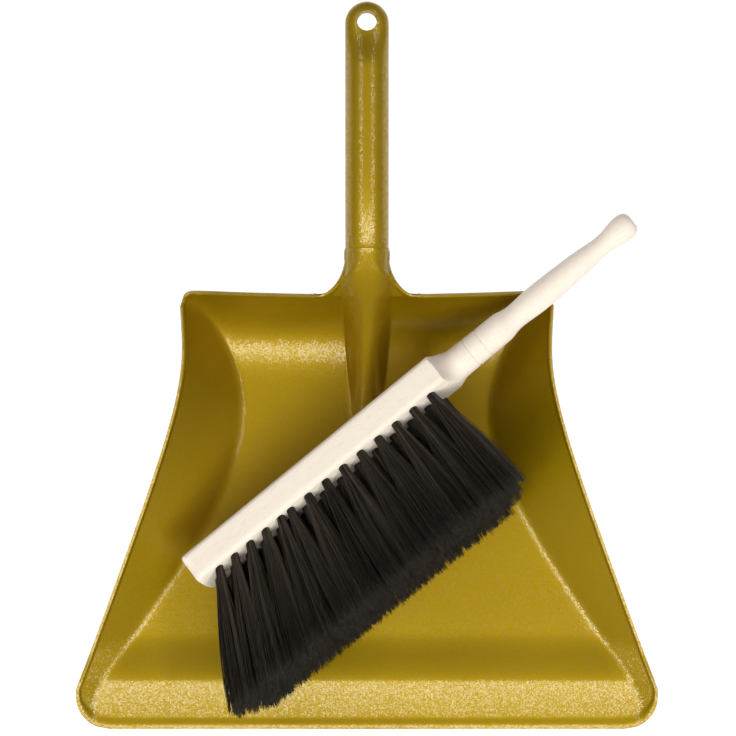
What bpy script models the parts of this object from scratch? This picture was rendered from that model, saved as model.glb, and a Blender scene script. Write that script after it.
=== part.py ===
"""Dust pan and brush set: a pressed steel pan with a tube handle, and a beech hand brush lying in it.

Metres, +Z up. The origin is on the ground, under the middle of the set: the pan's handle points
along +Y and its scraping lip is at -Y. The brush lies on its side across the pan, held up by the
floor at its toe and by the pan's rear corner under its handle.
"""

import math

import bmesh
import bpy
from mathutils import Vector

MM = 0.001
GAP = 0.3 * MM  # clearance between pieces that touch
TINY = 0.001 * MM

# Pan: outline. y runs from the lip at -HALF_LENGTH to the end of the handle at +HALF_LENGTH.
HALF_LENGTH = 177.8 * MM
SHEET = 1.0 * MM
HEM = 2.0 * MM  # the folded edge is two sheets thick
HEM_WIDTH = 2.5 * MM
WAIST_Y = 13.6 * MM  # where the two sides are closest
WAIST_HALF = 89.7 * MM
SIDE_SLOPE = 0.39
SIDE_SOFTNESS = 13.1 * MM
REAR_FLARE = 1.9 * MM
FRONT_CORNER = 16.0 * MM  # radius, centred at CORNER_X
CORNER_X = 128.5 * MM
REAR_RIM_Y = 37.3 * MM
REAR_CORNER = 7.0 * MM
REAR_CORNER_X = 84.6 * MM
REAR_BOW = 1.9 * MM  # the rear rim's corners lie this much further back than its middle

# Pan: heights above the ground.
REAR_HEIGHT = 34.0 * MM
SIDE_DROP = 0.19  # how fast the side rim comes down towards the lip
SIDE_LEVEL_Y = 20.0 * MM  # the side rim is level behind this
SIDE_LEVEL_SOFTNESS = 8.0 * MM
RIDGE_Y = -153.6 * MM
RIDGE_HEIGHT = 3.4 * MM
RISE_Y = -130.0 * MM  # the floor is flat from here to BEND_Y
LIP_POWER = 1.7  # of the curve from the ridge down to the lip
BEND_Y = -9.6 * MM
BEND_POWER = 3.4
FRONT_WALL_SLOPE = 0.51
FRONT_WALL_Y = -150.0 * MM  # the side walls keep that slope in front of this
FRONT_WALL_BLEND = 20.0 * MM

# Pan: the crease between the floor and a side wall.
CREASE_Y = -18.6 * MM
CREASE_HALF = 62.3 * MM
CREASE_MAX = 135.2 * MM
CREASE_BLEND = 8.0 * MM
CREASE_FRONT = (49.5 * MM, 0.8)  # softness and slope of the crease's run to the lip
CREASE_REAR = (32.0 * MM, 0.75)  # and of its run up to the rear corner
CREASE_FILLET = 3.0 * MM

# Pan: the rib up the back wall, the neck and the handle share one crest line.
RIB_START_Y = -46.0 * MM
RIB_HALF = 12.6 * MM  # at RIB_FULL_Y
RIB_FULL_Y = 43.0 * MM
RIB_LEAST_HALF = 4.0 * MM
RIB_GROWTH = 0.45
RIB_ROUNDNESS = (2.1, 2.8)  # the section's exponent where the rib starts and at the seam
RIB_FILLET = 1.5 * MM
CLIMB = 0.98
CLIMB_START_Y = -2.0 * MM
CLIMB_END_Y = 60.0 * MM
CLIMB_SOFTNESS = 12.0 * MM
CREST_SLOPE = 0.035
NECK_WIDTH = 16.0 * MM  # the concave sweep from the rim into the neck, across and along
WEB_POWER = 4.0  # how soon the sheet beside the rib levels out
NECK_LENGTH = 21.0 * MM
SEAM_Y = 60.0 * MM  # where the handle tube begins
TUBE_RADIUS = 10.45 * MM
TUBE_WALL = 1.05 * MM
TONGUE_END_Y = 84.0 * MM  # the neck's tongue inside the tube
FLAT_START_Y = 146.0 * MM  # the tube is pressed flatter towards its end
FLAT_HALF = 6.0 * MM
HOLE_Y = 168.2 * MM
HOLE_RADIUS = 4.8 * MM
TUBE_SLIT = 3.0 * MM

# Brush: local X runs from the toe to the knob, the bristles point along -Y, and Z is its width.
BRUSH_PLACE = (-82.7 * MM, -99.6 * MM, 18.6 * MM)  # the middle of the toe end
BRUSH_TURN = (-16.0, -6.28, 39.4)  # degrees
BRUSH_LENGTH = 274.5 * MM
BLOCK_LENGTH = 156.0 * MM
BLOCK_THICK = 17.8 * MM
BLOCK_HALF_WIDTH = 16.5 * MM
BLOCK_EDGE = 3.0 * MM
CROWN_RADIUS = 38.0 * MM  # the bristle face is crowned across its width
BLANK_REACH = 25.0 * MM  # past the blank's corners

# The handle's turned shape: distance from the knob's end and radius, in millimetres.
HANDLE_PROFILE = (
    (0.0, 3.0), (0.8, 4.9), (2.8, 6.2), (6.5, 6.65), (10.5, 6.2), (15.0, 5.25), (19.5, 4.95),
    (25.0, 5.3), (31.4, 5.95), (43.4, 6.5), (56.0, 6.8), (63.0, 6.7), (68.5, 6.35), (73.1, 6.15),
    (77.0, 6.6), (80.6, 7.45), (83.5, 7.6),
)
RING_DISTANCES = (93.0, 100.6)  # the two scribed rings, in millimetres from the knob's end
RING_RADIUS = 7.65 * MM
RING_DEPTH = 0.45 * MM
COVE_START = 108.5 * MM
COVE_RADIUS = 8.0 * MM
COVE_DEPTH = 12.5 * MM

# Tufts: rows from the top one down. Roots are on the crowned face, tips in one trimmed plane.
TUFTS_PER_ROW = 14
TOE_TUFTS = 5  # the first five roots of a row are closer together, and fan out over the toe
TOE_ROOT = 12.6 * MM
TOE_PITCH = 9.8 * MM
HEEL_ROOT = 58.0 * MM
HEEL_PITCH = 11.07 * MM
ROOT_RADIUS = 1.9 * MM
HOLE_DEPTH = 8.5 * MM
BRISTLE_REACH = 60.0 * MM  # from the face to the plane of the tips
TUFT_GAP = 0.6 * MM
TUFT_SIDES = 10
# For each row: root's place across the face, tip's middle and half width across, first tip and
# last tip along the block, all in millimetres, and the shift of its roots in pitches.
TUFT_ROWS = (
    (12.3, 20.5, 6.6, -16.0, 151.0, 0.0),
    (4.1, 6.4, 6.8, -18.5, 146.0, -0.5),
    (-4.1, -8.4, 7.3, -15.0, 142.0, 0.15),
    (-12.3, -23.6, 7.3, -11.0, 133.0, -0.35),
)


def ramp(distance, radius):
    """0 up to -radius, the distance itself past +radius, and a parabola in between."""
    if distance <= -radius:
        return 0.0
    if distance >= radius:
        return distance
    return (distance + radius) ** 2 / (4 * radius)


def soft_ramp(distance, softness):
    """The same with an endless, smoother bend."""
    return softness * math.log1p(math.exp(-abs(distance) / softness)) + max(distance, 0.0)


def bowed(distance, softness, slope):
    """A hyperbola that starts level at 0 and runs into a straight line of this slope."""
    return math.hypot(softness, slope * distance) - softness


def mix(a, b, share):
    return a + (b - a) * share


def smooth(share):
    share = min(max(share, 0.0), 1.0)
    return share * share * (3 - 2 * share)


def higher(a, b, width):
    """The larger of two heights, with a fillet where they cross."""
    overlap = max(width - abs(a - b), 0.0)
    return max(a, b) + overlap**2 / (4 * width)


# ---- the pan's shape, as functions of x (0 or more) and y ----


def side_half(y):
    """Half the pan's width at y, from the rear corner to the front corner's arc."""
    corner_y = FRONT_CORNER - HALF_LENGTH
    straight = WAIST_HALF + bowed(y - WAIST_Y, SIDE_SOFTNESS, SIDE_SLOPE)
    if y > WAIST_Y:
        return WAIST_HALF + REAR_FLARE * ((y - WAIST_Y) / (REAR_RIM_Y - WAIST_Y)) ** 2
    if y < corner_y:
        return CORNER_X + math.sqrt(max(FRONT_CORNER**2 - (y - corner_y) ** 2, 0.0))
    return min(straight, CORNER_X + FRONT_CORNER)


def front_edge(x):
    """y of the lip, straight and then round the front corner."""
    if x < CORNER_X:
        return -HALF_LENGTH
    return FRONT_CORNER - HALF_LENGTH - math.sqrt(FRONT_CORNER**2 - (x - CORNER_X) ** 2)


def rear_edge(x):
    """y of the rear rim, bowed and then round the rear corner."""
    bow = REAR_RIM_Y + REAR_BOW * (min(x, REAR_CORNER_X) / REAR_CORNER_X) ** 2
    if x < REAR_CORNER_X:
        return bow
    return bow - REAR_CORNER + math.sqrt(REAR_CORNER**2 - (x - REAR_CORNER_X) ** 2)


def crease_half(y):
    """x of the fold between the floor and the side wall."""
    if y > CREASE_Y:
        return CREASE_HALF + bowed(y - CREASE_Y, *CREASE_REAR)
    return -higher(-CREASE_HALF - bowed(y - CREASE_Y, *CREASE_FRONT), -CREASE_MAX, CREASE_BLEND)


def base_height(x, y):
    """Top of the floor, its ridge, the ramp down to the lip, and the back wall."""
    if y > BEND_Y:
        along = (y - BEND_Y) / (rear_edge(min(x, REAR_CORNER_X)) - BEND_Y)
        return SHEET + (REAR_HEIGHT - SHEET) * min(along, 1.0) ** BEND_POWER
    if y > RIDGE_Y:
        return SHEET + RIDGE_HEIGHT * smooth((RISE_Y - y) / (RISE_Y - RIDGE_Y))
    down = (RIDGE_Y - y) / (HALF_LENGTH + RIDGE_Y)
    return HEM + (SHEET + RIDGE_HEIGHT - HEM) * (1 - down) ** LIP_POWER


def rim_height(y):
    """Top of the side rim, which comes down towards the lip."""
    return REAR_HEIGHT - bowed(min(y - SIDE_LEVEL_Y, 0.0), SIDE_LEVEL_SOFTNESS, SIDE_DROP)


def wall_slope(y):
    """Rise of the side wall over its run from the crease out to the rim."""
    at = min(max(y, FRONT_WALL_Y), REAR_RIM_Y - 2 * MM)
    run = side_half(at) - crease_half(at)
    slope = (rim_height(at) - base_height(crease_half(at), at)) / run
    return mix(FRONT_WALL_SLOPE, slope, smooth((y - FRONT_WALL_Y) / FRONT_WALL_BLEND))


def crest_height(y):
    """Top of the rib, the neck and the handle tube."""
    climb = soft_ramp(y - CLIMB_START_Y, CLIMB_SOFTNESS) - soft_ramp(y - CLIMB_END_Y, CLIMB_SOFTNESS)
    return SHEET + CLIMB * climb + CREST_SLOPE * max(y - RIB_START_Y, 0.0)


def rib_half(y):
    share = (y - RIB_START_Y) / (RIB_FULL_Y - RIB_START_Y)
    return max(RIB_HALF * max(share, 0.0) ** RIB_GROWTH, RIB_LEAST_HALF)


def rib_height(x, y, half, foot):
    """The rib's rounded section: its crest at x = 0 and its foot, at height foot, at x = half."""
    roundness = mix(*RIB_ROUNDNESS, smooth((y - RIB_START_Y) / (SEAM_Y - RIB_START_Y)))
    crest = crest_height(y)
    return crest - (crest - foot) * (x / half) ** roundness


def pan_top(x, y):
    """Height of the pan's upper surface."""
    base = base_height(x, y)
    crease = crease_half(y)
    top = base + wall_slope(y) * ramp(x - crease, CREASE_FILLET)
    if y > RIB_START_Y and x < 2 * RIB_HALF:
        top = higher(top, rib_height(x, y, rib_half(y), base), RIB_FILLET)
    return top


def tube_axis(y):
    return crest_height(y) - TUBE_RADIUS


# ---- building helpers ----


def clear_scene():
    for obj in list(bpy.data.objects):
        bpy.data.objects.remove(obj, do_unlink=True)


def make_collection(name, parent):
    collection = bpy.data.collections.new(name)
    parent.children.link(collection)
    return collection


def make_material(name, colour, roughness, metallic=0.0):
    material = bpy.data.materials.new(name)
    material.use_nodes = True
    shader = material.node_tree.nodes["Principled BSDF"]
    shader.inputs["Base Color"].default_value = (*colour, 1.0)
    shader.inputs["Roughness"].default_value = roughness
    shader.inputs["Metallic"].default_value = metallic
    material.diffuse_color = (*colour, 1.0)
    return material


def add_object(name, mesh, collection, material=None):
    obj = bpy.data.objects.new(name, mesh)
    if material:
        mesh.materials.append(material)
    collection.objects.link(obj)
    return obj


def as_cutter(obj):
    obj.hide_render = True
    obj.display_type = "WIRE"
    return obj


def add_cut(obj, cutter, operation="DIFFERENCE"):
    cut = obj.modifiers.new("Cut with " + cutter.name, "BOOLEAN")
    cut.operation = operation
    cut.solver = "EXACT"
    cut.object = cutter


def mesh_from(name, build):
    """A mesh made by build, a function that fills a bmesh, with its faces turned outwards."""
    work = bmesh.new()
    build(work)
    bmesh.ops.recalc_face_normals(work, faces=work.faces)
    mesh = bpy.data.meshes.new(name)
    work.to_mesh(mesh)
    work.free()
    return mesh


def add_loft(work, rings):
    """A closed solid through rings of points that correspond, with a face over each end."""
    loops = [[work.verts.new(point) for point in ring] for ring in rings]
    count = len(loops[0])
    for lower, upper in zip(loops, loops[1:]):
        for i in range(count):
            j = (i + 1) % count
            work.faces.new((lower[i], lower[j], upper[j], upper[i]))
    work.faces.new(loops[0])
    work.faces.new(loops[-1])


# ---- the dust pan ----


def spread(start, end, shares):
    return [mix(start, end, share) for share in shares]


def half_columns(fold, shoulder, crease, rim, fillet):
    """Where the columns of the sheet cross one half of a row, from the middle to the rim."""
    columns = spread(0.0, fold, (0.0, 0.22, 0.45, 0.68, 0.88, 1.0))
    columns += spread(fold, shoulder, (0.15, 0.55, 1.0))
    columns += spread(shoulder, crease - fillet, (0.5, 1.0))
    columns += [crease, min(crease + fillet, mix(crease, rim, 0.3))]
    if rim - crease > 12 * MM:
        columns += spread(crease + fillet, rim - HEM_WIDTH, (0.5, 1.0))
    else:
        columns += spread(crease, rim, (0.55, 0.8))
    return columns + [rim]


NECK_COLUMNS = 9  # of those columns, the ones that run on into the neck


def pan_rows():
    """The sheet's rows from lip to rear rim, each a list of (x, y) over half the width."""
    shoulder = 26.6 * MM
    front_y = -172.0 * MM
    front = half_columns(RIB_LEAST_HALF, shoulder, 135.4 * MM, 138.9 * MM, 1 * MM)
    behind = half_columns(
        RIB_LEAST_HALF, shoulder, crease_half(front_y), side_half(front_y), 1.5 * MM
    )
    rows = []
    for share in (0.0, 0.4):
        xs = [mix(a, b, share) for a, b in zip(front, behind)]
        rows.append([(x, mix(front_edge(a), front_y, share)) for x, a in zip(xs, front)])
    ys = [-172.0, -166.0, -160.0, -156.0, -153.6, -150.0, -144.0, -137.0, -130.0]
    ys += [-110.0, -88.0, -66.0, -46.0, -38.0, -28.0, -18.6, -9.6]
    ys += [-1.0, 6.0, 12.0, 17.5, 22.0, 26.0, 29.5, 33.0]
    for y in (value * MM for value in ys):
        fillet = mix(1.5 * MM, 3 * MM, smooth(1 - abs(y + 55 * MM) / (90 * MM)))
        xs = half_columns(rib_half(y), shoulder, crease_half(y), side_half(y), fillet)
        rows.append([(x, y) for x in xs])
    rear = half_columns(rib_half(REAR_RIM_Y), shoulder, 83.4 * MM, 89.6 * MM, 1 * MM)
    last = rows[-1]
    for share in (0.5, 1.0):
        xs = [mix(b[0], a, share) for a, b in zip(rear, last)]
        rows.append([(x, mix(b[1], rear_edge(a), share)) for x, a, b in zip(xs, rear, last)])
    return rows


def web_height(y):
    """The sheet beside the rib, where it carries the back wall's slope on and up to the tube."""
    left = (REAR_RIM_Y + NECK_LENGTH - y) / NECK_LENGTH
    top = tube_axis(REAR_RIM_Y + NECK_LENGTH)
    return top - (top - REAR_HEIGHT) * min(max(left, 0.0), 1.0) ** WEB_POWER


def neck_rows():
    """Rows of the neck, half wide: from the rim through the concave sweep, then the tongue."""
    rows = []
    for turn in (12, 26, 40, 54, 68, 80, 90):
        angle = math.radians(turn)
        edge_x = TUBE_RADIUS + NECK_WIDTH * (1 - math.sin(angle))
        edge_y = REAR_RIM_Y + NECK_LENGTH * (1 - math.cos(angle))
        middle_y = mix(REAR_RIM_Y, REAR_RIM_Y + NECK_LENGTH, turn / 90)
        fold = min(rib_half(middle_y), 0.93 * edge_x)
        row = []
        for x in half_columns(fold, edge_x, 1.0, 2.0, 0.1)[:NECK_COLUMNS]:
            y = mix(middle_y, edge_y, (x / edge_x) ** 2)
            foot = web_height(y)
            pressed = higher(foot, rib_height(x, y, fold, foot), RIB_FILLET)
            round_top = tube_axis(y) + math.sqrt(max(TUBE_RADIUS**2 - x * x, 0.0))
            row.append((x, y, mix(pressed, round_top, smooth((turn - 50) / 40))))
        rows.append(row)
    tongue_radius = TUBE_RADIUS - TUBE_WALL - 2 * GAP
    for y in (59.4 * MM, 68 * MM, 76 * MM, TONGUE_END_Y):
        row = []
        for k in range(NECK_COLUMNS):
            angle = math.radians(90) * k / (NECK_COLUMNS - 1)
            x = tongue_radius * math.sin(angle)
            row.append((x, y, tube_axis(y) + tongue_radius * math.cos(angle)))
        rows.append(row)
    return rows


def build_pan(collection, material):
    """The pressing: half of its upper surface, mirrored, then given the sheet's thickness."""
    sheet_rows = [[(x, y, pan_top(x, y)) for x, y in row] for row in pan_rows()]
    mesh = bpy.data.meshes.new("pan_shell")
    work = bmesh.new()
    rows = [[work.verts.new(point) for point in row] for row in sheet_rows + neck_rows()]
    for lower, upper in zip(rows, rows[1:]):
        for i in range(min(len(lower), len(upper)) - 1):
            work.faces.new((lower[i], lower[i + 1], upper[i + 1], upper[i]))
    work.to_mesh(mesh)
    edge = {v.index for v in work.verts if v.is_boundary and v.co.x > TINY}
    edge |= {v.index for v in work.verts if v.co.y < TINY - HALF_LENGTH}
    edge -= {v.index for v in work.verts if v.co.y > SEAM_Y - 2 * MM}
    work.free()
    pan = add_object("pan_shell", mesh, collection, material)
    hem = pan.vertex_groups.new(name="hem")
    hem.add(range(len(mesh.vertices)), SHEET / HEM, "REPLACE")
    hem.add(sorted(edge), 1.0, "REPLACE")
    mirror = pan.modifiers.new("Other half", "MIRROR")
    mirror.merge_threshold = 0.1 * MM
    shell = pan.modifiers.new("Sheet", "SOLIDIFY")
    shell.thickness = HEM
    shell.offset = -1.0
    shell.vertex_group = "hem"
    mesh.shade_smooth()
    return pan


def tube_ring(y, side, height, centre, count=20):
    points = []
    for k in range(count):
        angle = 2 * math.pi * k / count
        points.append((side * math.sin(angle), y, centre + height * math.cos(angle)))
    return points


def tube_rings(shrink, start_y):
    """Rings of the handle's outer surface, or of one that lies shrink inside it."""
    radius = TUBE_RADIUS - shrink
    flat = FLAT_HALF - shrink
    end_y = HALF_LENGTH - shrink
    rings = []
    for y in [start_y] + [value * MM for value in (66, 74, 84, 96, 115, 135, 146, 155, 162)]:
        height = mix(radius, flat, smooth((y - FLAT_START_Y) / (18 * MM)))
        rings.append(tube_ring(y, radius, height, tube_axis(y)))
    for turn in (8, 25, 42, 57, 70, 81):
        angle = math.radians(turn)
        y = end_y - radius * (1 - math.sin(angle))
        rings.append(tube_ring(y, radius * math.cos(angle), flat * math.cos(angle) ** 0.6, tube_axis(y)))
    return rings


def build_handle_tube(collection, cutters, material):
    mesh = mesh_from("handle_tube", lambda work: add_loft(work, tube_rings(0.0, SEAM_Y)))
    tube = add_object("handle_tube", mesh, collection, material)
    mesh = mesh_from("tube_bore", lambda work: add_loft(work, tube_rings(TUBE_WALL, SEAM_Y - 5 * MM)))
    add_cut(tube, as_cutter(add_object("tube_bore", mesh, cutters)))

    def slit(work):
        bmesh.ops.create_cube(work, size=1.0)
        bmesh.ops.scale(work, vec=(TUBE_SLIT, 140 * MM, 20 * MM), verts=work.verts)

    cutter = add_object("tube_slit", mesh_from("tube_slit", slit), cutters)
    cutter.location = (0.0, 100 * MM, tube_axis(100 * MM) - 14 * MM)
    cutter.rotation_euler.x = math.atan(CREST_SLOPE)
    add_cut(tube, as_cutter(cutter))

    def hole(work):
        bmesh.ops.create_cone(
            work, cap_ends=True, segments=24, radius1=HOLE_RADIUS, radius2=HOLE_RADIUS, depth=40 * MM
        )

    cutter = add_object("hanging_hole", mesh_from("hanging_hole", hole), cutters)
    cutter.location = (0.0, HOLE_Y, tube_axis(HOLE_Y))
    add_cut(tube, as_cutter(cutter))
    tube.data.shade_smooth()
    return tube


# ---- the brush, in its own frame ----


def face_y(z):
    """y of the crowned bristle face at the height z across the block."""
    return z * z / (2 * CROWN_RADIUS) - BLOCK_THICK / 2


def arc(centre, radius, start, end, steps):
    """Points on an arc in the block's section, angles in degrees from +Y towards +Z."""
    points = []
    for k in range(steps + 1):
        angle = math.radians(mix(start, end, k / steps))
        points.append((centre[0] + radius * math.cos(angle), centre[1] + radius * math.sin(angle)))
    return points


def block_section():
    """Outline of the block across its length: flat back, rounded edges, crowned bristle face."""
    back = BLOCK_THICK / 2 - BLOCK_EDGE
    side = BLOCK_HALF_WIDTH - BLOCK_EDGE
    front = face_y(side) + BLOCK_EDGE
    outline = arc((back, side), BLOCK_EDGE, 0, 90, 3)
    outline += arc((front, side), BLOCK_EDGE, 90, 180 - 12, 2)
    outline += [(face_y(z), z) for z in spread(side - 2 * MM, 2 * MM - side, (0, 0.2, 0.4, 0.6, 0.8, 1))]
    outline += arc((front, -side), BLOCK_EDGE, 180 + 12, 270, 2)
    outline += arc((back, -side), BLOCK_EDGE, 270, 360, 3)
    return outline


def build_blank(work):
    """The sawn blank: the block's section over the whole length, with a rounded toe end."""
    outline = block_section()
    toe = work.faces.new([work.verts.new((0.0, y, z)) for y, z in outline])
    grown = bmesh.ops.extrude_face_region(work, geom=[toe])
    far = [item for item in grown["geom"] if isinstance(item, bmesh.types.BMVert)]
    bmesh.ops.translate(work, vec=(BRUSH_LENGTH, 0.0, 0.0), verts=far)
    if toe.is_valid:
        near = [edge for edge in toe.edges]
    else:
        near = [edge for edge in work.edges if all(v.co.x < TINY for v in edge.verts)]
    bmesh.ops.recalc_face_normals(work, faces=work.faces)
    bmesh.ops.bevel(
        work, geom=near, offset=2 * MM, offset_type="OFFSET", segments=2, profile=0.5, affect="EDGES"
    )


def turned_profile():
    """(x, radius) along the brush, from before the toe to the knob's end."""
    points = [(-5 * MM, BLANK_REACH), (BLOCK_LENGTH - 2 * MM, BLANK_REACH)]
    cove_end = BRUSH_LENGTH - COVE_START
    cove_length = cove_end - BLOCK_LENGTH
    for turn in (0, 15, 30, 45, 62, 78, 90):
        angle = math.radians(turn)
        x = cove_end - cove_length * math.cos(angle)
        points.append((x, COVE_RADIUS + COVE_DEPTH * (1 - math.sin(angle))))
    for distance in sorted(RING_DISTANCES, reverse=True):
        x = BRUSH_LENGTH - distance * MM
        for offset, depth in ((-0.5, 0.0), (0.0, RING_DEPTH), (0.5, 0.0)):
            points.append((x + offset * MM, RING_RADIUS - depth))
    for distance, radius in reversed(HANDLE_PROFILE):
        points.append((BRUSH_LENGTH - distance * MM, radius * MM))
    return points


def build_turning(cutters):
    """The turned shape as a profile spun round the brush's long axis."""
    points = turned_profile()
    mesh = bpy.data.meshes.new("turning")
    work = bmesh.new()
    ends = [(points[0][0], 0.0)] + points + [(points[-1][0], 0.0)]
    verts = [work.verts.new((x, 0.0, radius)) for x, radius in ends]
    for a, b in zip(verts[1:], verts):
        work.edges.new((a, b))
    work.to_mesh(mesh)
    work.free()
    turning = add_object("turning", mesh, cutters)
    spin = turning.modifiers.new("Spin", "SCREW")
    spin.axis = "X"
    spin.steps = 20
    spin.render_steps = 20
    spin.use_merge_vertices = True
    spin.merge_threshold = 0.01 * MM
    return as_cutter(turning)


def root_x(column, shift):
    """Where along the block a tuft's root is. shift moves it by a share of the pitch."""
    if column < TOE_TUFTS:
        return TOE_ROOT + (column + shift) * TOE_PITCH
    return HEEL_ROOT + (column - TOE_TUFTS + shift) * HEEL_PITCH


def tuft_line(row, column):
    """Root on the face's chord plane, tip, and the tip's half sizes along and across."""
    root_z, tip_z, half_across, first_tip, last_tip, shift = TUFT_ROWS[row]
    pitch = (last_tip - first_tip) * MM / (TUFTS_PER_ROW - 1)
    root = Vector((root_x(column, shift), face_y(root_z * MM), root_z * MM))
    tip = Vector((first_tip * MM + column * pitch, -BLOCK_THICK / 2 - BRISTLE_REACH, tip_z * MM))
    return root, tip, (pitch - TUFT_GAP) / 2, half_across * MM


def round_ring(centre, radius):
    points = []
    for k in range(TUFT_SIDES):
        angle = 2 * math.pi * k / TUFT_SIDES
        points.append(centre + Vector((radius * math.cos(angle), 0.0, radius * math.sin(angle))))
    return points


def box_ring(centre, half_along, half_across):
    """A rounded rectangle with the same number of points as a round ring."""
    points = []
    for k in range(TUFT_SIDES):
        angle = 2 * math.pi * k / TUFT_SIDES
        x, z = math.cos(angle), math.sin(angle)
        grow = (x**4 + z**4) ** -0.25
        points.append(centre + Vector((x * grow * half_along, 0.0, z * grow * half_across)))
    return points


def drill(work):
    """All tuft holes, each along its tuft."""
    for row in range(len(TUFT_ROWS)):
        for column in range(TUFTS_PER_ROW):
            root, tip, _, _ = tuft_line(row, column)
            step = (tip - root) / (root.y - tip.y)
            radius = ROOT_RADIUS + GAP
            add_loft(work, [
                round_ring(root - step * (HOLE_DEPTH + GAP), radius),
                round_ring(root + step * 4 * MM, radius),
            ])


def build_stock(collection, cutters, brush, material):
    stock = add_object("brush_stock", mesh_from("brush_stock", build_blank), collection, material)
    turning = build_turning(cutters)
    holes = as_cutter(add_object("tuft_holes", mesh_from("tuft_holes", drill), cutters))
    for obj in (stock, turning, holes):
        obj.parent = brush
    add_cut(stock, turning, "INTERSECT")
    add_cut(stock, holes)
    stock.data.shade_smooth()
    return stock


def build_tuft(row, column, collection, brush, material):
    root, tip, half_along, half_across = tuft_line(row, column)
    step = (tip - root) / (root.y - tip.y)
    rings = [
        round_ring(root - step * HOLE_DEPTH, ROOT_RADIUS),
        round_ring(root + step * 1.5 * MM, ROOT_RADIUS),
        box_ring(tip, half_along, half_across),
    ]
    name = f"tuft_r{row + 1}_{column + 1:02d}"
    tuft = add_object(name, mesh_from(name, lambda work: add_loft(work, rings)), collection, material)
    tuft.parent = brush
    return tuft


def main():
    clear_scene()
    scene = bpy.context.scene
    parts = make_collection("dust_pan_and_brush", scene.collection)
    cutters = make_collection("cutters", scene.collection)
    lacquer = make_material("gold_lacquered_steel", (0.32, 0.22, 0.012), 0.35, 0.9)
    beech = make_material("beech", (0.86, 0.74, 0.58), 0.5)
    bristle = make_material("dark_bristle", (0.02, 0.017, 0.015), 0.6)
    build_pan(parts, lacquer)
    build_handle_tube(parts, cutters, lacquer)
    brush = bpy.data.objects.new("brush_place", None)
    brush.location = BRUSH_PLACE
    brush.rotation_euler = [math.radians(turn) for turn in BRUSH_TURN]
    parts.objects.link(brush)
    build_stock(parts, cutters, brush, beech)
    for row in range(len(TUFT_ROWS)):
        for column in range(TUFTS_PER_ROW):
            build_tuft(row, column, parts, brush, bristle)


main()
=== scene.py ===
"""Looks for the dust pan and brush set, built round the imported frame.

Metres, +Z up, in the frame's own axes. The pressed pan, its handle tube and the brush's wooden stock
are made again at a fine grain from the CAD's own dimensions, and each tuft becomes a bundle of
separate bristles.
"""

import math

import bmesh
import bpy
import numpy as np
from mathutils import Euler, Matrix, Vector
from mathutils.kdtree import KDTree

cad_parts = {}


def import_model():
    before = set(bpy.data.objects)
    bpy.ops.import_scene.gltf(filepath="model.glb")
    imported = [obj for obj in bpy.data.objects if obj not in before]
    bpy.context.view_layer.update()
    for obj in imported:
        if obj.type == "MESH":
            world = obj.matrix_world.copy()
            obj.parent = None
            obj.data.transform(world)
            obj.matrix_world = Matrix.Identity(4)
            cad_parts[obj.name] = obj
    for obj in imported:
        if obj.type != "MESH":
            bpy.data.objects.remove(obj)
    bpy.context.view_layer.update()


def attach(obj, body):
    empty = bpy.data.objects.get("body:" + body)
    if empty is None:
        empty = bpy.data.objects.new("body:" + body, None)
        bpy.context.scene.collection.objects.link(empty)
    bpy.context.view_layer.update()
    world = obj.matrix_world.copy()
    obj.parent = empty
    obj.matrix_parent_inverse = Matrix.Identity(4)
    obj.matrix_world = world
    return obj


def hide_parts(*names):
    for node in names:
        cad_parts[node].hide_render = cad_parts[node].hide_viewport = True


MM = 0.001

# ---- dimensions repeated from the CAD ----

# Pan: outline. y runs from the lip at -HALF_LENGTH to the end of the handle at +HALF_LENGTH.
HALF_LENGTH = 177.8 * MM
SHEET = 1.0 * MM
HEM = 2.0 * MM
HEM_WIDTH = 2.5 * MM
WAIST_Y = 13.6 * MM
WAIST_HALF = 89.7 * MM
SIDE_SLOPE = 0.39
SIDE_SOFTNESS = 13.1 * MM
REAR_FLARE = 1.9 * MM
FRONT_CORNER = 16.0 * MM
CORNER_X = 128.5 * MM
REAR_RIM_Y = 37.3 * MM
REAR_CORNER = 7.0 * MM
REAR_CORNER_X = 84.6 * MM
REAR_BOW = 1.9 * MM

# Pan: heights above the ground.
REAR_HEIGHT = 34.0 * MM
SIDE_DROP = 0.19
SIDE_LEVEL_Y = 20.0 * MM
SIDE_LEVEL_SOFTNESS = 8.0 * MM
RIDGE_Y = -153.6 * MM
RIDGE_HEIGHT = 3.4 * MM
RISE_Y = -130.0 * MM
LIP_POWER = 1.7
BEND_Y = -9.6 * MM
BEND_POWER = 3.4
FRONT_WALL_SLOPE = 0.51
FRONT_WALL_Y = -150.0 * MM
FRONT_WALL_BLEND = 20.0 * MM

# Pan: the crease between the floor and a side wall.
CREASE_Y = -18.6 * MM
CREASE_HALF = 62.3 * MM
CREASE_MAX = 135.2 * MM
CREASE_BLEND = 8.0 * MM
CREASE_FRONT = (49.5 * MM, 0.8)
CREASE_REAR = (32.0 * MM, 0.75)
CREASE_FILLET = 3.0 * MM

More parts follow.
